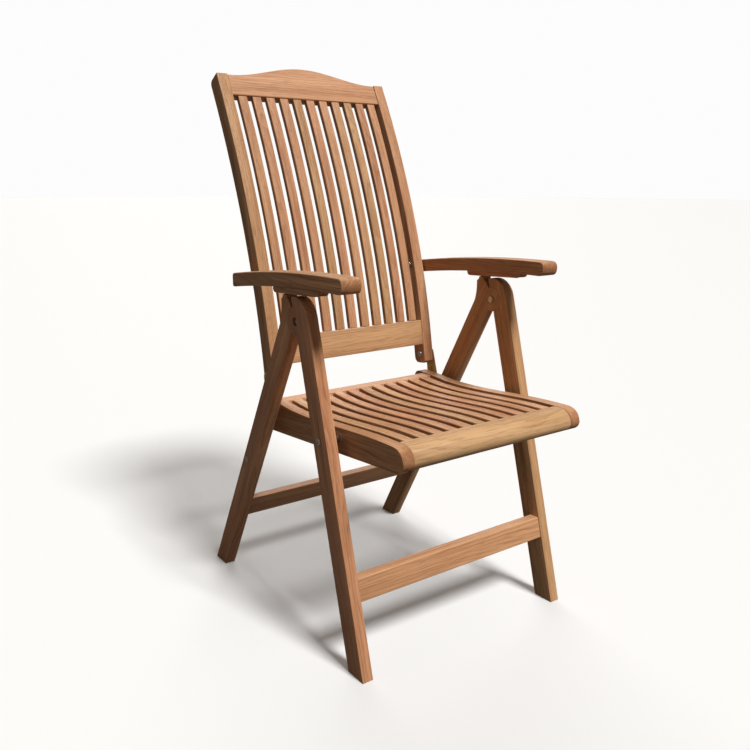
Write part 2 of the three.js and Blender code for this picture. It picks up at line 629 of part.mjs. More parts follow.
bothSides(({ word, side, span, within }) => {
  const plateOuter = PLATE_INNER + PLATE_THICK;
  const linkOuter = LINK_INNER + LINK_THICK;
  const plateCuts = [BACK_PIVOT, PLATE_PIVOT].map((pivot) =>
    plug(pivot, BOLT_HOLE, ...within(PLATE_INNER, plateOuter, PLATE_INNER - 1, plateOuter + 1), 16));
  const plate = carve(slab(hingePlateShape(), PLATE_THICK, 8), [], plateCuts);
  placeSide(`hinge_plate_${word}`, plate, brass(), span(PLATE_INNER, plateOuter));
  const linkCuts = [LINK_LEG_PIVOT, LINK_SEAT_PIVOT].map((pivot, n) =>
    plug(pivot, BOLT_HOLE + n * LINK_PLAY,
      ...within(LINK_INNER, linkOuter, LINK_INNER - 1, linkOuter + 1), 16));
  const link = carve(slab(linkShape(), LINK_THICK, 8), [], linkCuts);
  placeSide(`seat_link_${word}`, link, brass(), span(LINK_INNER, linkOuter));

  const legInner = LEG_OUTER - LEG_THICK;
  placeBolt(`apex_bolt_${word}`, APEX, [
    [0, legInner - NUT_HIGH],
    [HEAD_RADIUS, legInner - NUT_HIGH],
    [HEAD_RADIUS, legInner - GAP],
    [BOLT_RADIUS, legInner - GAP],
    [BOLT_RADIUS, LEG_OUTER - BOLT_SINK + GAP],
    ...dome(LEG_OUTER - BOLT_SINK + GAP, HEAD_RADIUS, DOME_HIGH),
  ], side, steel());
  // The seat bolt has a collar that fills the space between the leg and the seat rail.
  placeBolt(`seat_bolt_${word}`, SEAT_PIVOT, [
    [0, SEAT_INNER - NUT_HIGH],
    [HEAD_RADIUS, SEAT_INNER - NUT_HIGH],
    [HEAD_RADIUS, SEAT_INNER - GAP],
    [BOLT_RADIUS, SEAT_INNER - GAP],
    [BOLT_RADIUS, SEAT_OUTER + GAP],
    [COLLAR_RADIUS, SEAT_OUTER + GAP],
    [COLLAR_RADIUS, legInner - GAP],
    [BOLT_RADIUS, legInner - GAP],
    [BOLT_RADIUS, LEG_OUTER + GAP],
    ...dome(LEG_OUTER + GAP, HEAD_RADIUS, DOME_HIGH),
  ], side, steel());
  placeBolt(`link_leg_bolt_${word}`, LINK_LEG_PIVOT, [
    [0, LINK_INNER - NUT_HIGH],
    [HEAD_RADIUS, LINK_INNER - NUT_HIGH],
    [HEAD_RADIUS, LINK_INNER - GAP],
    [BOLT_RADIUS, LINK_INNER - GAP],
    [BOLT_RADIUS, linkOuter + GAP],
    [COLLAR_RADIUS, linkOuter + GAP],
    [COLLAR_RADIUS, legInner - GAP],
    [BOLT_RADIUS, legInner - GAP],
    [BOLT_RADIUS, LEG_OUTER + GAP],
    ...dome(LEG_OUTER + GAP, HEAD_RADIUS, DOME_HIGH),
  ], side, steel());
  // This bolt ends short of the link, which is where the closed linkage is opened.
  placeBolt(`link_seat_bolt_${word}`, LINK_SEAT_PIVOT, [
    [0, SEAT_INNER - NUT_HIGH],
    [HEAD_RADIUS, SEAT_INNER - NUT_HIGH],
    [HEAD_RADIUS, SEAT_INNER - GAP],
    [BOLT_RADIUS, SEAT_INNER - GAP],
    [BOLT_RADIUS, SEAT_OUTER + GAP],
    [HEAD_RADIUS, SEAT_OUTER + GAP],
    [HEAD_RADIUS, LINK_INNER - GAP],
    [0, LINK_INNER - GAP],
  ], side, steel());
  placeBolt(`plate_bolt_${word}`, PLATE_PIVOT, [
    [0, SEAT_OUTER - PLATE_BOLT_REACH],
    [BOLT_RADIUS, SEAT_OUTER - PLATE_BOLT_REACH],
    [BOLT_RADIUS, plateOuter + GAP],
    ...dome(plateOuter + GAP, HEAD_RADIUS, DOME_HIGH),
  ], side, steel());
  placeBolt(`back_bolt_${word}`, BACK_PIVOT, [
    [0, STILE_INNER - NUT_HIGH],
    [HEAD_RADIUS, STILE_INNER - NUT_HIGH],
    [HEAD_RADIUS, STILE_INNER - GAP],
    [BOLT_RADIUS, STILE_INNER - GAP],
    [BOLT_RADIUS, STILE_OUTER + GAP],
    [COLLAR_RADIUS, STILE_OUTER + GAP],
    [COLLAR_RADIUS, PLATE_INNER - GAP],
    [BOLT_RADIUS, PLATE_INNER - GAP],
    [BOLT_RADIUS, plateOuter + GAP],
    ...dome(plateOuter + GAP, HEAD_RADIUS, DOME_HIGH),
  ], side, steel());
  placeBolt(`arm_bolt_${word}`, ARM_PIVOT, [
    [0, STILE_INNER - NUT_HIGH],
    [HEAD_RADIUS, STILE_INNER - NUT_HIGH],
    [HEAD_RADIUS, STILE_INNER - GAP],
    [BOLT_RADIUS, STILE_INNER - GAP],
    [BOLT_RADIUS, ARM_INNER + ARM_BOLT_REACH],
    [0, ARM_INNER + ARM_BOLT_REACH],
  ], side, steel());
  placeBolt(`arm_washer_${word}`, ARM_PIVOT, [
    [BOLT_RADIUS + GAP, STILE_OUTER + GAP],
    [COLLAR_RADIUS, STILE_OUTER + GAP],
    [COLLAR_RADIUS, ARM_INNER - GAP],
    [BOLT_RADIUS + GAP, ARM_INNER - GAP],
    [BOLT_RADIUS + GAP, STILE_OUTER + GAP],
  ], side, brass());
});

root.position.y = CENTRE_SHIFT;
export default root;
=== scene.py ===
"""Finish of a folding armchair: oiled teak with eased edges, brass plates and steel bolts."""
import json
import math
import random

import bpy
from bpy.props import (
    FloatProperty,
    FloatVectorProperty,
    IntProperty,
    PointerProperty,
)
from mathutils import Matrix, Quaternion, Vector

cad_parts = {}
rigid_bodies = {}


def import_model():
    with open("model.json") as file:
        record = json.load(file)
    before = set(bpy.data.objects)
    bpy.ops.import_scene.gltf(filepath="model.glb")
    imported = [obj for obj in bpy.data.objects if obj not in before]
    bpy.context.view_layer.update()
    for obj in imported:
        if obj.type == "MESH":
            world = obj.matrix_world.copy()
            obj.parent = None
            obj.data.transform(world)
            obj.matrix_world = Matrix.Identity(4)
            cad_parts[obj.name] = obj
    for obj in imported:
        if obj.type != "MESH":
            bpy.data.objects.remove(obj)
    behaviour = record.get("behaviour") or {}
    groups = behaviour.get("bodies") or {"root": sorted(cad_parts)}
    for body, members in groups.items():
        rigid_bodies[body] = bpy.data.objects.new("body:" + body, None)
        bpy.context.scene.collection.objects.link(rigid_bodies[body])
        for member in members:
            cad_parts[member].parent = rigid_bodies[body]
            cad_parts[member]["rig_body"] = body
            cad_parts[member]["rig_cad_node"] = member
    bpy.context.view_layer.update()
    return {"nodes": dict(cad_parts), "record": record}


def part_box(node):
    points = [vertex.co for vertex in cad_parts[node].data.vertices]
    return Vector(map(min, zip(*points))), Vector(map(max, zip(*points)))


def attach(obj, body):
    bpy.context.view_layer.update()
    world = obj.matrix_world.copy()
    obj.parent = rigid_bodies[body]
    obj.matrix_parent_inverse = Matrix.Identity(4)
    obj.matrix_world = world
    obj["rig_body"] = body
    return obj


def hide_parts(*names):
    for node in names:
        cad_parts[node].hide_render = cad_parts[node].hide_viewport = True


bl_info = {
    "name": "Folding Armchair Finish",
    "version": (1, 0, 0),
    "blender": (4, 5, 0),
    "location": "View3D > Sidebar > Armchair",
    "description": "Eased teak parts, brass plates, bolts and a soft studio for a folding armchair",
    "category": "Object",
}

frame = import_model()
MM = 0.001
SIDES = ("left", "right")

# ---- Timber facts: the grain's direction in each part, and how much its edges are eased ----


def lean(degrees):
    """The direction of a part that leans back by an angle from upright."""
    return Vector((0, math.sin(math.radians(degrees)), math.cos(math.radians(degrees))))


ACROSS = Vector((1, 0, 0))
FORE_AFT = Vector((0, 1, 0))
UP = Vector((0, 0, 1))
SEAT_LIE = lean(94.7)
BACK_LEAN = lean(18.5)

# part: (grain direction, edge radius in mm, tone, warmth, material slot). Tone 0.5 is the board's
# own colour and 1 is pale; warmth 0 is yellow and 1 is red.
TIMBER = {
    "front_leg": (lean(15.2), 2.2, 0.46, 0.50, "leg_teak"),
    "rear_leg": (lean(-28.9), 2.2, 0.42, 0.52, "leg_teak"),
    "front_stretcher": (ACROSS, 2.0, 0.52, 0.46, "leg_teak"),
    "rear_stretcher": (ACROSS, 2.0, 0.52, 0.48, "leg_teak"),
    "seat_rail": (SEAT_LIE, 2.4, 0.44, 0.46, "seat_teak"),
    "seat_front_rail": (ACROSS, 2.2, 0.50, 0.40, "seat_teak"),
    "seat_rear_rail": (ACROSS, 1.6, 0.48, 0.50, "seat_teak"),
    "seat_slat": (SEAT_LIE, 2.0, 0.50, 0.56, "seat_teak"),
    "back_stile": (BACK_LEAN, 2.4, 0.52, 0.50, "back_teak"),
    "back_slat": (BACK_LEAN, 1.8, 0.52, 0.54, "back_teak"),
    "back_lower_rail": (ACROSS, 1.6, 0.55, 0.48, "back_teak"),
    "crest_rail": (ACROSS, 2.6, 0.56, 0.46, "back_teak"),
    "arm": (FORE_AFT, 4.5, 0.46, 0.62, "back_teak"),
    "arm_rack": (FORE_AFT, 1.0, 0.40, 0.60, "leg_teak"),
}


def timber_kind(node):
    """The longest name in TIMBER that a node's name starts with."""
    return max((kind for kind in TIMBER if node.startswith(kind)), key=len)


# ---- Settings --------------------------------------------------------------------------


class TimberSettings(bpy.types.PropertyGroup):
    """Colours and figure of the teak."""

    pale: FloatVectorProperty(
        name="Pale wood", description="Colour of the early wood", subtype="COLOR",
        default=(0.590, 0.360, 0.208), size=3, min=0, max=1)
    dark: FloatVectorProperty(
        name="Dark wood", description="Colour of the late wood", subtype="COLOR",
        default=(0.300, 0.137, 0.062), size=3, min=0, max=1)
    pore: FloatVectorProperty(
        name="Pores", description="Colour of the open pores", subtype="COLOR",
        default=(0.085, 0.030, 0.012), size=3, min=0, max=1)
    ring: FloatProperty(
        name="Ring width", description="Distance between growth rings",
        default=0.0052, min=0.001, max=0.02, unit="LENGTH")
    variation: FloatProperty(
        name="Board variation", description="How much boards differ in tone",
        default=0.20, min=0, max=0.5, subtype="FACTOR")
    roughness: FloatProperty(
        name="Roughness", description="Roughness of the oiled surface",
        default=0.52, min=0.1, max=1, subtype="FACTOR")
    edge_segments: IntProperty(
        name="Edge segments", description="Faces across each eased edge", default=3, min=1, max=6)


class MetalSettings(bpy.types.PropertyGroup):
    """Colours of the fittings."""

    brass: FloatVectorProperty(
        name="Brass", description="Colour of the hinge plates and links", subtype="COLOR",
        default=(0.74, 0.54, 0.21), size=3, min=0, max=1)
    tarnish: FloatVectorProperty(
        name="Tarnish", description="Colour of the aged patches on brass", subtype="COLOR",
        default=(0.30, 0.20, 0.075), size=3, min=0, max=1)
    steel: FloatVectorProperty(
        name="Steel", description="Colour of the bolts", subtype="COLOR",
        default=(0.66, 0.62, 0.54), size=3, min=0, max=1)
    socket: FloatProperty(
        name="Hex socket", description="Width of the socket in a bolt's head, across its corners",
        default=0.0052, min=0.002, max=0.008, unit="LENGTH")


class StageSettings(bpy.types.PropertyGroup):
    """Camera, floor and lights."""

    camera_place: FloatVectorProperty(
        name="Camera place", description="Where the camera stands", subtype="TRANSLATION",
        default=(-0.9946, -1.3453, 0.9024), size=3, unit="LENGTH")
    camera_azimuth: FloatProperty(
        name="Camera azimuth", description="Turn of the view from straight at the front",
        default=math.radians(-35.71), subtype="ANGLE")
    camera_elevation: FloatProperty(
        name="Camera elevation", description="Height angle of the view",
        default=math.radians(13.90), subtype="ANGLE")
    camera_roll: FloatProperty(
        name="Camera roll", description="Turn of the picture",
        default=math.radians(0.21), subtype="ANGLE")
    lens: FloatProperty(
        name="Lens", description="Focal length in millimetres", default=38.15, min=10, max=200)
    key_strength: FloatProperty(
        name="Key", description="Strength of the soft key light, which comes from far off",
        default=3.6, min=0)
    key_softness: FloatProperty(
        name="Key softness", description="Width of the key light as seen from the chair",
        default=math.radians(15), subtype="ANGLE")
    key_azimuth: FloatProperty(
        name="Key azimuth", description="Turn of the key light from straight at the front",
        default=math.radians(6), subtype="ANGLE")
    key_elevation: FloatProperty(
        name="Key elevation", description="Height angle of the key light",
        default=math.radians(54), subtype="ANGLE")
    back_strength: FloatProperty(
        name="Back light", description="Strength of the weak light on the chair's back",
        default=1.1, min=0)
    back_softness: FloatProperty(
        name="Back softness", description="Width of the back light as seen from the chair",
        default=math.radians(45), subtype="ANGLE")
    back_azimuth: FloatProperty(
        name="Back azimuth", description="Turn of the back light from straight at the front",
        default=math.radians(152), subtype="ANGLE")
    back_elevation: FloatProperty(
        name="Back elevation", description="Height angle of the back light",
        default=math.radians(30), subtype="ANGLE")
    sky: FloatProperty(
        name="Sky", description="Strength of the even light all round", default=0.14, min=0)
    sky_colour: FloatVectorProperty(
        name="Sky colour", description="Colour of the even light", subtype="COLOR",
        default=(1.0, 0.83, 0.68), size=3, min=0, max=1)
    light_colour: FloatVectorProperty(
        name="Light colour", description="Colour of both lights", subtype="COLOR",
        default=(1.0, 0.985, 0.955), size=3, min=0, max=1)
    shown: FloatProperty(
        name="Backdrop", description="Brightness behind the floor", default=0.98, min=0)
    floor: FloatVectorProperty(
        name="Floor", description="Colour of the floor", subtype="COLOR",
        default=(0.800, 0.812, 0.830), size=3, min=0, max=1)
    bounce: FloatProperty(
        name="Floor bounce", description="Share of the floor's light that reaches the chair",
        default=0.13, min=0, max=1, subtype="FACTOR")


class ArmchairSettings(bpy.types.PropertyGroup):
    """Everything a user of the chair would change."""

    timber: PointerProperty(type=TimberSettings)
    metal: PointerProperty(type=MetalSettings)
    stage: PointerProperty(type=StageSettings)


# ---- Mesh helpers ----------------------------------------------------------------------


def only(obj):
    """Makes obj the one selected and active object."""
    if bpy.context.mode != "OBJECT":
        bpy.ops.object.mode_set(mode="OBJECT")
    bpy.ops.object.select_all(action="DESELECT")
    obj.hide_viewport = False
    obj.select_set(True)
    bpy.context.view_layer.objects.active = obj


def apply_modifier(obj, kind, **values):
    """Adds a modifier with these values and applies it."""
    only(obj)
    modifier = obj.modifiers.new(kind.title(), kind)
    for key, value in values.items():
        setattr(modifier, key, value)
    bpy.ops.object.modifier_apply(modifier=modifier.name)


# Vertices of a CAD part closer than this are one, and faces that turn less than this are merged.
SAME_PLACE = 0.02 * MM
SAME_FACE = math.radians(0.35)


def copy_of_node(node, name):
    """A separate piece with a CAD part's own shape, with its loose triangles merged to faces."""
    source = frame["nodes"][node]
    only(source)
    bpy.ops.object.duplicate(linked=False)
    piece = bpy.context.view_layer.objects.active
    piece.name = name
    piece.data.name = name
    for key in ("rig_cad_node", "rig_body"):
        if key in piece:
            del piece[key]
    piece.parent = None
    piece.matrix_world = Matrix.Identity(4)
    only(piece)
    bpy.ops.object.mode_set(mode="EDIT")
    bpy.ops.mesh.select_all(action="SELECT")
    bpy.ops.mesh.remove_doubles(threshold=SAME_PLACE)
    bpy.ops.mesh.dissolve_limited(angle_limit=SAME_FACE)
    bpy.ops.object.mode_set(mode="OBJECT")
    return piece


EDGE_SLOT = 1
# An edge of a timber part that turns more than this, in degrees, is eased.
TIMBER_SHARP = 28


def ease_edges(piece, radius_mm, segments, sharp=TIMBER_SHARP):
    """Rounds the sharp edges. Their faces get index EDGE_SLOT until the piece is dressed."""
    only(piece)
    bpy.ops.object.shade_smooth()
    while len(piece.data.materials) <= EDGE_SLOT:
        piece.data.materials.append(None)
    apply_modifier(
        piece, "BEVEL", width=radius_mm * MM, segments=segments, limit_method="ANGLE",
        angle_limit=math.radians(sharp), harden_normals=True, use_clamp_overlap=True,
        material=EDGE_SLOT, miter_outer="MITER_ARC",
    )


def dress(piece, material, body, slot, *nodes):
    """Gives a finished piece its material and body, and hides the CAD nodes it stands for. The slot
    argument is not used.
    """
    piece.data.materials.clear()
    piece.data.materials.append(material)
    piece.data.polygons.foreach_set("material_index", [0] * len(piece.data.polygons))
    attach(piece, body)
    if nodes:
        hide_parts(*nodes)
    return piece


def body_of_node(node):
    """The body that holds a CAD node."""
    bodies = frame["record"]["behaviour"]["bodies"]
    return next(body for body, members in bodies.items() if node in members)


# ---- Timber ----------------------------------------------------------------------------

# Distances in metres: how far the tree's heart lies from a board's middle, and how far along the
# tree a board may start.
HEART_NEAR, HEART_FAR = 0.035, 0.11
START_RANGE = 40
# How much wider boards differ in warmth than in tone.
WARMTH_SPREAD = 2
# A face whose normal lies this close to the grain, as a cosine, is end grain.
END_GRAIN = 0.72
# A direction that no board lies along, to find the directions across each board from.
ASKEW = Vector((0.31, 0.52, 0.80))


def paint_grain(piece, kind, seed):
    """Writes what the teak reads: place along and across the board, its stain, end grain and edges.

    The figure's centre lies a few centimetres outside the board, so its rings cut the faces in
    long arches, and each board starts at its own place along the tree.
    """
    along, _, tone, warmth, _ = TIMBER[kind]
    chance = random.Random(seed)
    side = along.cross(ASKEW).normalized()
    depth = along.cross(side)
    mesh = piece.data
    centre = sum((v.co for v in mesh.vertices), Vector()) / len(mesh.vertices)
    heart_angle = chance.uniform(0, 2 * math.pi)
    heart = chance.uniform(HEART_NEAR, HEART_FAR)
    start = chance.uniform(-START_RANGE, START_RANGE)
    offset = Vector((start, heart * math.cos(heart_angle), heart * math.sin(heart_angle)))
    variation = bpy.context.scene.armchair.timber.variation
    tone = tone + chance.uniform(-variation, variation)
    warmth = warmth + chance.uniform(-variation, variation) * WARMTH_SPREAD
    on_flat, on_end = set(), set()
    for face in mesh.polygons:
        if face.material_index != EDGE_SLOT:
            on_flat.update(face.vertices)
        if abs(face.normal.dot(along)) > END_GRAIN:
            on_end.update(face.vertices)
    # Each attribute is filled before the next is made, because a new one can move the others
    grain = mesh.attributes.new("grain", "FLOAT_VECTOR", "POINT")
    for v in mesh.vertices:
        d = v.co - centre
        grain.data[v.index].vector = Vector((d.dot(along), d.dot(side), d.dot(depth))) + offset
    stain = mesh.attributes.new("stain", "FLOAT_VECTOR", "POINT")
    for v in mesh.vertices:
        stain.data[v.index].vector = (tone, warmth, float(v.index in on_end))
    # arris marks the eased edges, which the teak paints paler as wear and as a painted highlight
    arris = mesh.attributes.new("arris", "FLOAT", "POINT")
    for v in mesh.vertices:
        arris.data[v.index].value = float(v.index not in on_flat)


def make_timber(node):
    """Copies a CAD part, eases its edges, paints its grain and puts it in the part's place."""
    kind = timber_kind(node)
    _, radius, _, _, slot = TIMBER[kind]
    piece = copy_of_node(node, f"{node}_teak")
    ease_edges(piece, radius, bpy.context.scene.armchair.timber.edge_segments)
    paint_grain(piece, kind, node)
    return dress(piece, teak(slot), body_of_node(node), slot, node)


def nodes_named(*starts):
    """The CAD nodes whose names start with one of these, in order."""
    return sorted(n for n in frame["nodes"] if n.startswith(starts))


# ---- Materials -------------------------------------------------------------------------


class Shader:
    """Builds a material's nodes in a row, with short calls for the ones used here."""

    def __init__(self, name):
        self.material = bpy.data.materials.new(name)
        self.material.use_nodes = True
        self.tree = self.material.node_tree
        self.tree.nodes.clear()
        self.surface = self.add("ShaderNodeBsdfPrincipled")
        output = self.add("ShaderNodeOutputMaterial")
        self.tree.links.new(self.surface.outputs[0], output.inputs["Surface"])

    def add(self, kind, **values):
        node = self.tree.nodes.new(kind)
        for key, value in values.items():
            setattr(node, key, value)
        node.location = (-200 * (len(self.tree.nodes) % 12), -160 * (len(self.tree.nodes) // 12))
        return node

    def put(self, value, socket):
        if isinstance(value, bpy.types.NodeSocket):
            self.tree.links.new(value, socket)
        else:
            socket.default_value = value

    def attribute(self, name, output="Vector"):
        return self.add("ShaderNodeAttribute", attribute_name=name).outputs[output]

    def math(self, operation, a, b=0.0, c=0.0, clamp=False):
        node = self.add("ShaderNodeMath", operation=operation, use_clamp=clamp)
        for value, socket in zip((a, b, c), node.inputs):
            self.put(value, socket)
        return node.outputs[0]

    def vector(self, operation, a, b=(0, 0, 0)):
        node = self.add("ShaderNodeVectorMath", operation=operation)
        self.put(a, node.inputs[0])
        self.put(b, node.inputs[1])
        return node.outputs["Value" if operation == "LENGTH" else "Vector"]

    def noise(self, vector, scale, detail=2.0, roughness=0.5):
        node = self.add("ShaderNodeTexNoise")
        self.put(vector, node.inputs["Vector"])
        for value, socket in ((scale, "Scale"), (detail, "Detail"), (roughness, "Roughness")):
            self.put(value, node.inputs[socket])
        return node.outputs["Fac"]

    def steps(self, fac, *stops):
        """A smooth ramp from numbers to numbers, given as (position, grey)."""
        node = self.add("ShaderNodeValToRGB")
        ramp = node.color_ramp
        ramp.interpolation = "EASE"
        while len(ramp.elements) < len(stops):
            ramp.elements.new(0.5)
        for element, (position, grey) in zip(ramp.elements, stops):
            element.position = position
            element.color = (grey, grey, grey, 1)
        self.put(fac, node.inputs[0])
        return node.outputs["Color"]

    def mix(self, fac, a, b, blend="MIX"):
        node = self.add("ShaderNodeMix", data_type="RGBA", blend_type=blend)
        self.put(fac, node.inputs["Factor"])
        for value, socket in ((a, node.inputs[6]), (b, node.inputs[7])):
            self.put((*value, 1) if isinstance(value, tuple) else value, socket)
        return node.outputs[2]

    def split(self, vector):
        node = self.add("ShaderNodeSeparateXYZ")
        self.put(vector, node.inputs[0])
        return node.outputs

    def bump(self, height, distance, strength):
        node = self.add("ShaderNodeBump")
        self.put(strength, node.inputs["Strength"])
        self.put(distance, node.inputs["Distance"])
        self.put(height, node.inputs["Height"])
        return node.outputs[0]


# slot: (brightness, redness) of its boards against the plain teak
BOARDS = {"leg_teak": (1.14, 0.02), "seat_teak": (1.04, 0.0), "back_teak": (1.03, 0.0)}

# The teak's figure: how many waves each layer has to a metre, along the board and across it.
WAVES = {
    "sweep": (2.1, 14),
    "ripple": (11, 160),
    "streak": (1.7, 70),
    "cloud": (5, 24),
    "fibre": (7, 330),
    "pore": (26, 1150),
}
# How far the sweep and the ripple push the growth rings, in metres.
SWEEP_PUSH, RIPPLE_PUSH = 0.046, 0.0016
# How much each layer darkens the wood.
DARKENING = {"ring": 0.34, "fibre": 0.26, "streak": 0.34, "cloud": 0.45, "tone": 0.9, "end": 0.35}
# What the pale and the dark wood are multiplied by in the reddest and in the yellowest boards.
REDDEST = (1.07, 0.91, 0.89)
YELLOWEST = (0.995, 1.015, 0.885)
# The height of the wood's relief, in metres.
RELIEF_HIGH = 0.00022


def teak(slot):
    """Oiled teak of one slot, made once."""
    name = f"oiled_{slot}"
    if name in bpy.data.materials:
        return bpy.data.materials[name]
    timber = bpy.context.scene.armchair.timber
    brightness, redness = BOARDS[slot]
    s = Shader(name)
    grain = s.attribute("grain")
    tone, warmth, end = s.split(s.attribute("stain"))
    arris = s.attribute("arris", "Fac")

    def layer(kind, detail, roughness=0.5):
        along, across = WAVES[kind]
        return s.noise(s.vector("MULTIPLY", grain, (along, across, across)), 1.0, detail, roughness)

    def darken(kind, amount, depth, clamp=False):
        return s.math("MULTIPLY_ADD", amount, DARKENING[kind], depth, clamp=clamp)

    # Growth rings: the distance from the tree's heart, pushed about by slow waves along the board
    sweep = s.math("MULTIPLY", s.math("SUBTRACT", layer("sweep", 3.0, 0.55), 0.5), SWEEP_PUSH)
    wander = s.math("ADD", sweep, s.math("MULTIPLY", layer("ripple", 2.0), RIPPLE_PUSH))
    radius = s.vector("LENGTH", s.vector("MULTIPLY", grain, (0, 1, 1)))
    turns = s.math("DIVIDE", s.math("ADD", radius, wander), timber.ring)
    ring = s.steps(
        s.math("FRACT", turns), (0.0, 0.42), (0.10, 0.06), (0.55, 0.22), (0.86, 0.78), (0.97, 1.0))

    # Long fibres, fine pores and cloudy patches
    fibre = s.steps(layer("fibre", 4.0, 0.62), (0.33, 0.0), (0.68, 1.0))
    streak = s.steps(layer("streak", 3.0, 0.6), (0.34, 0.0), (0.70, 1.0))
    pores = s.steps(layer("pore", 1.0), (0.60, 0.0), (0.70, 1.0))
    cloud = s.math("SUBTRACT", layer("cloud", 2.0), 0.5)

    depth = s.math("MULTIPLY", ring, DARKENING["ring"])
    depth = darken("fibre", fibre, depth)
    depth = darken("streak", streak, depth)
    depth = darken("cloud", cloud, depth)
    depth = darken("tone", s.math("SUBTRACT", 0.5, tone), depth)
    depth = darken("end", end, depth, clamp=True)
    pale = tuple(c * brightness for c in timber.pale)
    dark = tuple(c * brightness for c in timber.dark)
    colour = s.mix(depth, pale, dark)
    colour = s.mix(s.math("MULTIPLY", pores, 0.42), colour, tuple(timber.pore))

    # Boards differ in hue, and the eased edges are painted a little paler: partly wear from
    # handling, partly a painted highlight where the rounded edges catch the light
    red = s.mix(1.0, colour, (REDDEST[0] + redness, *REDDEST[1:]), "MULTIPLY")
    yellow = s.mix(1.0, colour, YELLOWEST, "MULTIPLY")
    colour = s.mix(warmth, yellow, red)
    # Paler eased edges: handling wear together with a painted highlight
    worn_and_highlit_edge = s.math("MULTIPLY", arris, s.math("MULTIPLY_ADD", streak, 0.25, 0.10))
    colour = s.mix(worn_and_highlit_edge, colour, tuple(min(1, c * 1.25) for c in pale))

    rough = s.math("MULTIPLY_ADD", fibre, 0.10, timber.roughness - 0.05)
    rough = s.math("MULTIPLY_ADD", end, 0.15, rough)
    relief = s.math("MULTIPLY_ADD", pores, -0.7, s.math("MULTIPLY", fibre, -0.35))
    relief = s.math("MULTIPLY_ADD", ring, 0.25, relief)
    s.put(colour, s.surface.inputs["Base Color"])
    s.put(rough, s.surface.inputs["Roughness"])
    s.put(s.bump(relief, RELIEF_HIGH, 0.75), s.surface.inputs["Normal"])
    s.put(1.45, s.surface.inputs["IOR"])
    s.put(0.32, s.surface.inputs["Specular IOR Level"])
    return s.material


def object_place(s):
    """Object coordinates, for what is the same all over the fittings."""
    return s.add("ShaderNodeTexCoord").outputs["Object"]


def brass():
    """Brass that has dulled outdoors, with darker patches and fine rubbing marks."""
    if "aged_brass" in bpy.data.materials:
        return bpy.data.materials["aged_brass"]
    metal = bpy.context.scene.armchair.metal
    s = Shader("aged_brass")
    place = object_place(s)
    patches = s.steps(s.noise(place, 95, 4.0, 0.6), (0.38, 0.0), (0.66, 1.0))
    marks = s.noise(s.vector("MULTIPLY", place, (400, 2600, 260)), 1.0, 2.0)
    colour = s.mix(s.math("MULTIPLY", patches, 0.62), tuple(metal.brass), tuple(metal.tarnish))
    s.put(colour, s.surface.inputs["Base Color"])
    s.put(s.math("MULTIPLY_ADD", patches, 0.2, s.math("MULTIPLY_ADD", marks, 0.18, 0.30)),
          s.surface.inputs["Roughness"])
    s.put(s.bump(marks, 0.00006, 0.6), s.surface.inputs["Normal"])
    s.put(0.6, s.surface.inputs["Metallic"])
    return s.material


def steel():
    """Bright zinc-plated steel with light wear and fine turning marks."""
    if "turned_steel" in bpy.data.materials:
        return bpy.data.materials["turned_steel"]
    metal = bpy.context.scene.armchair.metal
    s = Shader("turned_steel")
    place = object_place(s)
    dull = s.steps(s.noise(place, 240, 3.0), (0.40, 0.0), (0.72, 1.0))
    marks = s.noise(s.vector("MULTIPLY", place, (5200, 700, 700)), 1.0, 1.0)
    grey = tuple(c * 0.55 for c in metal.steel)
    colour = s.mix(s.math("MULTIPLY", dull, 0.5), tuple(metal.steel), grey)
    s.put(colour, s.surface.inputs["Base Color"])
    s.put(s.math("MULTIPLY_ADD", dull, 0.18, s.math("MULTIPLY_ADD", marks, 0.12, 0.20)),
          s.surface.inputs["Roughness"])
    s.put(s.bump(marks, 0.00004, 0.5), s.surface.inputs["Normal"])
    s.put(1.0, s.surface.inputs["Metallic"])
    return s.material


# ---- Fittings --------------------------------------------------------------------------

# bolt: the depth in mm of the hex socket in its domed head. A bolt with no head outside has none.
BOLTS = {
    "apex_bolt": 2.4,
    "seat_bolt": 2.0,
    "link_leg_bolt": 2.0,
    "plate_bolt": 1.8,
    "back_bolt": 1.8,
    "arm_bolt": 0,
    "link_seat_bolt": 0,
}
# How much the metal's edges are eased, in mm, and how sharp an edge has to be for it, in degrees.
BOLT_EASE = 0.35
PLATE_EASE = 0.5
METAL_SHARP = 40
METAL_EDGE_SEGMENTS = 2


def hex_socket(piece, centre, tip, deep):
    """Sinks a hex socket into the domed end of a bolt that lies along X."""
    width = bpy.context.scene.armchair.metal.socket
    bpy.ops.object.select_all(action="DESELECT")
    bpy.ops.mesh.primitive_cylinder_add(
        vertices=6, radius=width / 2, depth=2 * deep * MM,
        location=(tip, centre[1], centre[2]), rotation=(0, math.pi / 2, 0))
    cutter = bpy.context.view_layer.objects.active
    apply_modifier(piece, "BOOLEAN", operation="DIFFERENCE", solver="EXACT", object=cutter)
    bpy.data.objects.remove(cutter)


def make_bolt(node, socket_deep):
    """A bolt with softened edges and, where its head shows, a hex socket."""
    piece = copy_of_node(node, f"{node}_metal")
    ease_edges(piece, BOLT_EASE, METAL_EDGE_SEGMENTS, METAL_SHARP)
    if socket_deep:
        low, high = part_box(node)
        hex_socket(piece, (low + high) / 2, high.x if low.x > 0 else low.x, socket_deep)
    only(piece)
    bpy.ops.object.shade_smooth_by_angle(angle=math.radians(32))
    return dress(piece, steel(), body_of_node(node), "steel_bolt", node)


def make_plate(node):
    """A brass plate, link or washer with softened edges."""
    piece = copy_of_node(node, f"{node}_brass")
    ease_edges(piece, PLATE_EASE, METAL_EDGE_SEGMENTS, METAL_SHARP)
    return dress(piece, brass(), body_of_node(node), "brass_plate", node)


HEAD_SIDES = 24
# The screws' heads, in mm.
HEAD_RADIUS = 3.6
HEAD_HIGH = 1.3


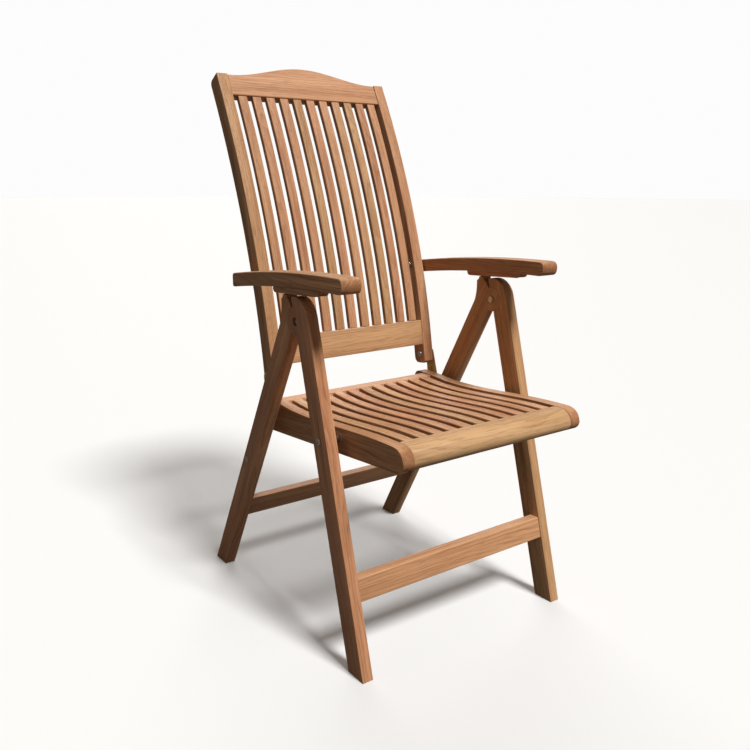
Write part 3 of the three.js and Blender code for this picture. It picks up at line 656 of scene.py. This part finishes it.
def round_head(name, radius, high):
    """A pan head with a cross cut in it, standing along +Z with its rim around the origin."""
    bpy.ops.object.select_all(action="DESELECT")
    bpy.ops.mesh.primitive_cylinder_add(
        vertices=HEAD_SIDES, radius=radius, depth=high, end_fill_type="NGON",
        location=(0, 0, high / 2))
    head = bpy.context.view_layer.objects.active
    head.name = name
    bpy.ops.object.transform_apply(location=True, rotation=True, scale=True)
    apply_modifier(head, "BEVEL", width=high * 0.62, segments=3, limit_method="ANGLE",
                   angle_limit=math.radians(60), use_clamp_overlap=True)
    for turn in (0, math.pi / 2):
        bpy.ops.object.select_all(action="DESELECT")
        bpy.ops.mesh.primitive_cube_add(size=1, location=(0, 0, high), rotation=(0, 0, turn))
        cutter = bpy.context.view_layer.objects.active
        cutter.scale = (radius * 1.15, radius * 0.26, high * 0.9)
        only(cutter)
        bpy.ops.object.transform_apply(location=True, rotation=True, scale=True)
        apply_modifier(head, "BOOLEAN", operation="DIFFERENCE", solver="EXACT", object=cutter)
        bpy.data.objects.remove(cutter)
    return head


def place_copy(model, name, place, outward, turn):
    """A copy of a piece with its own mesh, its +Z turned outward, and its place in its mesh."""
    piece = model.copy()
    piece.data = model.data.copy()
    piece.name = piece.data.name = name
    bpy.context.scene.collection.objects.link(piece)
    facing = UP.rotation_difference(outward)
    only(piece)
    piece.matrix_world = (
        Matrix.Translation(place) @ facing.to_matrix().to_4x4() @ Matrix.Rotation(turn, 4, "Z"))
    bpy.ops.object.transform_apply(location=True, rotation=True, scale=True)
    bpy.ops.object.shade_smooth_by_angle(angle=math.radians(35))
    return piece


# The racks' notches in mm: the rear one stands REAR_NOTCH from the rack's rear end, and the rest
# follow at NOTCH_PITCH. Screws stand between notches, at these counts from the rear one.
REAR_NOTCH = 46.1
NOTCH_PITCH = 28
SCREWED_BETWEEN = (0.5, 3.5)
# A screw is looked for from this far under its rack, in mm, and each is turned on by this angle.
SCREW_SEARCH = 10
SCREW_TURN = 0.7


# ---- Operators -------------------------------------------------------------------------


class ARMCHAIR_OT_legs(bpy.types.Operator):
    """Makes the four legs and the two stretchers"""

    bl_idname = "armchair.legs"
    bl_label = "Legs"

    def execute(self, context):
        for node in nodes_named("front_leg", "rear_leg", "front_stretcher", "rear_stretcher"):
            make_timber(node)
        return {"FINISHED"}


class ARMCHAIR_OT_seat(bpy.types.Operator):
    """Makes the seat's rails and slats"""

    bl_idname = "armchair.seat"
    bl_label = "Seat"

    def execute(self, context):
        for node in nodes_named("seat_rail", "seat_front", "seat_rear", "seat_slat"):
            make_timber(node)
        return {"FINISHED"}


class ARMCHAIR_OT_back(bpy.types.Operator):
    """Makes the back's stiles, rails and slats"""

    bl_idname = "armchair.back"
    bl_label = "Back"

    def execute(self, context):
        for node in nodes_named("back_stile", "back_lower", "back_slat", "crest_rail"):
            make_timber(node)
        return {"FINISHED"}


class ARMCHAIR_OT_arms(bpy.types.Operator):
    """Makes the arms and the notched racks under them"""

    bl_idname = "armchair.arms"
    bl_label = "Arms"

    def execute(self, context):
        for side in SIDES:
            make_timber(f"arm_{side}")
            make_timber(f"arm_rack_{side}")
        return {"FINISHED"}


class ARMCHAIR_OT_plates(bpy.types.Operator):
    """Makes the hinge plates, links and washers"""

    bl_idname = "armchair.plates"
    bl_label = "Hinge plates"

    def execute(self, context):
        for node in nodes_named("hinge_plate", "seat_link", "arm_washer"):
            make_plate(node)
        return {"FINISHED"}


class ARMCHAIR_OT_bolts(bpy.types.Operator):
    """Makes the bolts that the chair turns on"""

    bl_idname = "armchair.bolts"
    bl_label = "Bolts"

    def execute(self, context):
        for side in SIDES:
            for kind, deep in BOLTS.items():
                make_bolt(f"{kind}_{side}", deep)
        return {"FINISHED"}


class ARMCHAIR_OT_screws(bpy.types.Operator):
    """Makes the screws that hold the racks under the arms"""

    bl_idname = "armchair.screws"
    bl_label = "Screws"

    def execute(self, context):
        head = round_head("screw_model", HEAD_RADIUS * MM, HEAD_HIGH * MM)
        for side in SIDES:
            low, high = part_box(f"arm_rack_{side}")
            rack = bpy.data.objects[f"arm_rack_{side}_teak"]
            for count, notches in enumerate(SCREWED_BETWEEN, 1):
                y = high.y - REAR_NOTCH * MM - notches * NOTCH_PITCH * MM
                start = Vector(((low.x + high.x) / 2, y, low.z - SCREW_SEARCH * MM))
                hit, place, outward, _ = rack.ray_cast(start, UP)
                if not hit:
                    raise RuntimeError(f"no wood above {start} for a screw of the {side} rack")
                name = f"rack_screw_{side}_{count}"
                screw = place_copy(head, name, place, outward, SCREW_TURN * count)
                dress(screw, steel(), f"arm_{side}", "steel_bolt")
        bpy.data.objects.remove(head)
        return {"FINISHED"}


# The floor in metres. It lies a hair under the feet, so that its face and theirs don't meet.
FLOOR_RADIUS = 40
FLOOR_PLACE = (0, 0, -0.0006)
SENSOR_WIDTH = 36


class ARMCHAIR_OT_stage(bpy.types.Operator):
    """Makes the floor, the lights and the camera"""

    bl_idname = "armchair.stage"
    bl_label = "Stage"

    def execute(self, context):
        stage = context.scene.armchair.stage
        context.scene.view_settings.view_transform = "Standard"
        self.lay_floor(stage)
        self.light_room(stage)
        self.light("key_light", stage.key_azimuth, stage.key_elevation,
                   stage.key_strength, stage.key_softness)
        self.light("back_light", stage.back_azimuth, stage.back_elevation,
                   stage.back_strength, stage.back_softness)

        camera = bpy.data.objects.new("camera", bpy.data.cameras.new("camera"))
        context.scene.collection.objects.link(camera)
        camera.data.sensor_width = SENSOR_WIDTH
        camera.data.lens = stage.lens
        back = self.heading(stage.camera_azimuth, stage.camera_elevation)
        turn = (-back).to_track_quat("-Z", "Y") @ Quaternion(UP, stage.camera_roll)
        place = Matrix.Translation(Vector(stage.camera_place))
        camera.matrix_world = place @ turn.to_matrix().to_4x4()
        context.scene.camera = camera
        return {"FINISHED"}

    @staticmethod
    def lay_floor(stage):
        """A plain pale floor, which throws back less light than its colour would."""
        bpy.ops.object.select_all(action="DESELECT")
        bpy.ops.mesh.primitive_circle_add(
            vertices=96, radius=FLOOR_RADIUS, fill_type="NGON", location=FLOOR_PLACE)
        floor = bpy.context.view_layer.objects.active
        floor.name = "floor"
        s = Shader("pale_floor")
        pale = tuple(stage.floor)
        dim = tuple(c * stage.bounce for c in pale)
        seen = s.add("ShaderNodeLightPath").outputs["Is Camera Ray"]
        s.put(s.mix(seen, dim, pale), s.surface.inputs["Base Color"])
        s.put(0.75, s.surface.inputs["Roughness"])
        s.put(0.1, s.surface.inputs["Specular IOR Level"])
        floor.data.materials.append(s.material)

    @staticmethod
    def light_room(stage):
        """Weak even light all round, and a bright backdrop that only the camera sees."""
        world = bpy.data.worlds.new("studio")
        bpy.context.scene.world = world
        world.use_nodes = True
        nodes, links = world.node_tree.nodes, world.node_tree.links
        nodes.clear()
        shown, sky = nodes.new("ShaderNodeBackground"), nodes.new("ShaderNodeBackground")
        path, mixed = nodes.new("ShaderNodeLightPath"), nodes.new("ShaderNodeMixShader")
        out = nodes.new("ShaderNodeOutputWorld")
        shown.inputs["Color"].default_value = (1.0, 1.0, 1.0, 1)
        shown.inputs["Strength"].default_value = stage.shown
        sky.inputs["Color"].default_value = (*stage.sky_colour, 1)
        sky.inputs["Strength"].default_value = stage.sky
        links.new(path.outputs["Is Camera Ray"], mixed.inputs[0])
        links.new(sky.outputs[0], mixed.inputs[1])
        links.new(shown.outputs[0], mixed.inputs[2])
        links.new(mixed.outputs[0], out.inputs["Surface"])

    @classmethod
    def light(cls, name, azimuth, elevation, strength, softness):
        """A soft light that comes evenly from far off."""
        data = bpy.data.lights.new(name, "SUN")
        data.energy = strength
        data.angle = softness
        data.color = bpy.context.scene.armchair.stage.light_colour
        lamp = bpy.data.objects.new(name, data)
        bpy.context.scene.collection.objects.link(lamp)
        turn = (-cls.heading(azimuth, elevation)).to_track_quat("-Z", "Y")
        lamp.matrix_world = turn.to_matrix().to_4x4()

    @staticmethod
    def heading(azimuth, elevation):
        """The direction that stands at an azimuth from straight in front and at a height angle."""
        return Vector((
            math.sin(azimuth) * math.cos(elevation),
            -math.cos(azimuth) * math.cos(elevation),
            math.sin(elevation)))


class ARMCHAIR_PT_panel(bpy.types.Panel):
    """Lists the chair's pieces in the sidebar"""

    bl_idname = "ARMCHAIR_PT_panel"
    bl_label = "Folding Armchair"
    bl_space_type = "VIEW_3D"
    bl_region_type = "UI"
    bl_category = "Armchair"

    def draw(self, context):
        settings = context.scene.armchair
        for group in (settings.timber, settings.metal, settings.stage):
            box = self.layout.box()
            for key in group.__annotations__:
                box.prop(group, key)
        for operator in OPERATORS:
            self.layout.operator(operator.bl_idname)


OPERATORS = (
    ARMCHAIR_OT_legs,
    ARMCHAIR_OT_seat,
    ARMCHAIR_OT_back,
    ARMCHAIR_OT_arms,
    ARMCHAIR_OT_plates,
    ARMCHAIR_OT_bolts,
    ARMCHAIR_OT_screws,
    ARMCHAIR_OT_stage,
)
CLASSES = (
    TimberSettings, MetalSettings, StageSettings, ArmchairSettings, *OPERATORS, ARMCHAIR_PT_panel)


def register():
    for item in CLASSES:
        bpy.utils.register_class(item)
    bpy.types.Scene.armchair = PointerProperty(type=ArmchairSettings)


def unregister():
    del bpy.types.Scene.armchair
    for item in reversed(CLASSES):
        bpy.utils.unregister_class(item)


def main():
    register()
    bpy.ops.armchair.legs()
    bpy.ops.armchair.seat()
    bpy.ops.armchair.back()
    bpy.ops.armchair.arms()
    bpy.ops.armchair.plates()
    bpy.ops.armchair.bolts()
    bpy.ops.armchair.screws()
    bpy.ops.armchair.stage()


if __name__ == "__main__":
    main()
